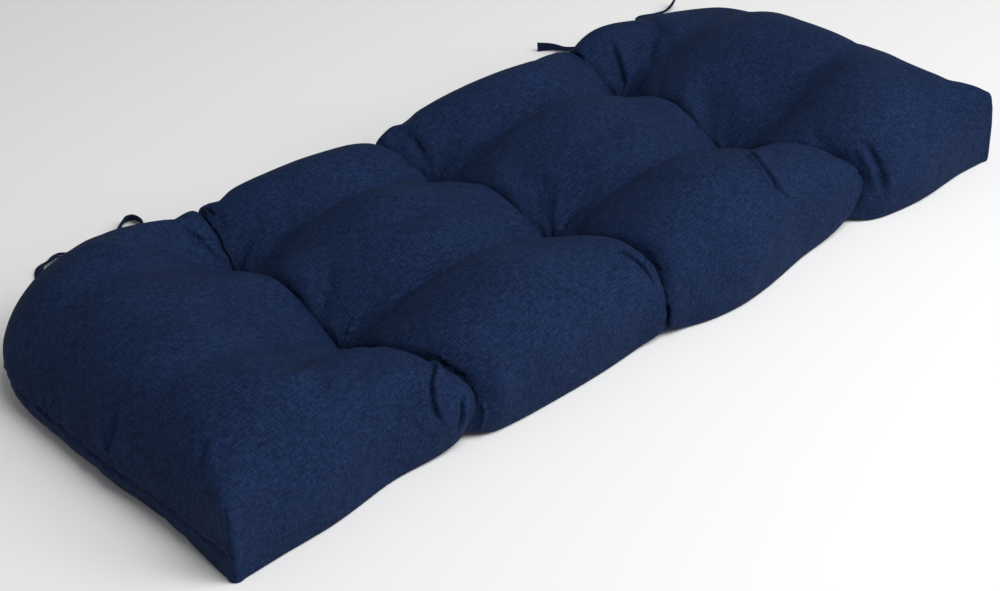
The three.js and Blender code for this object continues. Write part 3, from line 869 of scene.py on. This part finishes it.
# Painted shade: the yarn's colour is mixed darker in the creases, round the tufts and along the seams.
in_painted_crease_shade = add_node(tree, "ShaderNodeAttribute", attribute_name="painted_crease_shade").outputs["Fac"]
seam_painted_shade = add_node(tree, "ShaderNodeAttribute", attribute_name="seam").outputs["Fac"]
painted_shade_mask = combine(tree, "MAXIMUM", in_painted_crease_shade, seam_painted_shade)
shade_painted_colour = add_node(
    tree, "ShaderNodeMix",
    {"Factor": combine(tree, "MULTIPLY", painted_shade_mask, 0.35), "A": yarn.outputs["Result"], "B": (0.0012, 0.0042, 0.0150, 1)},
    data_type="RGBA")
rub = add_node(
    tree, "ShaderNodeMapRange",
    {"Value": add_node(tree, "ShaderNodeNewGeometry").outputs["Pointiness"], "From Min": 0.50, "From Max": 0.58, "To Min": 0.0, "To Max": 0.14})
worn = add_node(
    tree, "ShaderNodeMix",
    {"Factor": rub.outputs["Result"], "A": shade_painted_colour.outputs["Result"], "B": (0.0120, 0.0300, 0.0900, 1)},
    data_type="RGBA")
tree.links.new(worn.outputs["Result"], shader.inputs["Base Color"])
relief = add_node(
    tree, "ShaderNodeBump", {"Height": linen.outputs["Height"], "Strength": 0.5, "Distance": 0.0006})
tree.links.new(relief.outputs["Normal"], shader.inputs["Normal"])
shader.inputs["Roughness"].default_value = 0.88
shader.inputs["Specular IOR Level"].default_value = 0.12
cover_data.materials.append(cloth)

# The ties' tape: the same cloth cut narrow and folded, with a row of stitches near each edge.
tape_cloth = bpy.data.materials.new("navy_tape")
tape_cloth.use_nodes = True
tree = tape_cloth.node_tree
shader = tree.nodes["Principled BSDF"]
on_tape = add_node(tree, "ShaderNodeUVMap", uv_map="cloth").outputs["UV"]
linen = add_node(tree, "ShaderNodeGroup", {}, node_tree=weave)
tree.links.new(on_tape, linen.inputs["Place"])
yarn = add_node(
    tree, "ShaderNodeMix",
    {"Factor": linen.outputs["Shade"], "A": (0.0008, 0.0050, 0.0200, 1), "B": (0.0075, 0.0215, 0.0670, 1)},
    data_type="RGBA")
split = add_node(tree, "ShaderNodeSeparateXYZ", {0: on_tape})
from_row = combine(tree, "ABSOLUTE", combine(tree, "SUBTRACT", combine(tree, "ABSOLUTE", split.outputs[1], 0.0), 0.0042), 0.0)
in_row = combine(tree, "LESS_THAN", from_row, 0.0004)
stitch = combine(tree, "GREATER_THAN", combine(tree, "SINE", combine(tree, "MULTIPLY", split.outputs[0], 2 * math.pi / 0.003), 0.0), -0.2)
thread = combine(tree, "MULTIPLY", in_row, stitch)
sewn = add_node(
    tree, "ShaderNodeMix",
    {"Factor": combine(tree, "MULTIPLY", thread, 0.7), "A": yarn.outputs["Result"], "B": (0.0100, 0.0260, 0.0750, 1)},
    data_type="RGBA")
tree.links.new(sewn.outputs["Result"], shader.inputs["Base Color"])
relief = add_node(
    tree, "ShaderNodeBump",
    {"Height": combine(tree, "SUBTRACT", linen.outputs["Height"], in_row), "Strength": 0.5, "Distance": 0.0005})
tree.links.new(relief.outputs["Normal"], shader.inputs["Normal"])
shader.inputs["Roughness"].default_value = 0.86
shader.inputs["Specular IOR Level"].default_value = 0.12
for tape in tapes:
    tape.data.materials.append(tape_cloth)

# ---- Floor and light ----
# A plain pale floor under two broad soft lamps, one high in front and one lower on the right.
floor_data = bpy.data.meshes.new("floor")
floor_mesh = bmesh.new()
bmesh.ops.create_grid(floor_mesh, x_segments=1, y_segments=1, size=20)
floor_mesh.to_mesh(floor_data)
floor_mesh.free()
floor = bpy.data.objects.new("floor", floor_data)
scene.collection.objects.link(floor)
floor_paint = bpy.data.materials.new("pale_floor")
floor_paint.use_nodes = True
floor_paint.node_tree.nodes["Principled BSDF"].inputs["Base Color"].default_value = (0.9, 0.9, 0.9, 1)
floor_paint.node_tree.nodes["Principled BSDF"].inputs["Roughness"].default_value = 0.9
floor_data.materials.append(floor_paint)

world = bpy.data.worlds.new("studio")
scene.world = world
world.use_nodes = True
world.node_tree.nodes["Background"].inputs["Color"].default_value = (1, 1, 1, 1)
world.node_tree.nodes["Background"].inputs["Strength"].default_value = 0.25


def add_soft_light(name, place, target, size, power):
    data = bpy.data.lights.new(name, "AREA")
    data.shape = "DISK"
    data.size = size
    data.energy = power
    lamp = bpy.data.objects.new(name, data)
    scene.collection.objects.link(lamp)
    lamp.location = place
    lamp.rotation_mode = "QUATERNION"
    lamp.rotation_quaternion = (Vector(place) - Vector(target)).to_track_quat("Z", "Y")


add_soft_light("high_light", (0.157, -1.793, 3.118), (0, 0, 0), 2.4, 81)
add_soft_light("low_light", (1.751, -2.501, 1.908), (0, 0, 0), 2.4, 61)
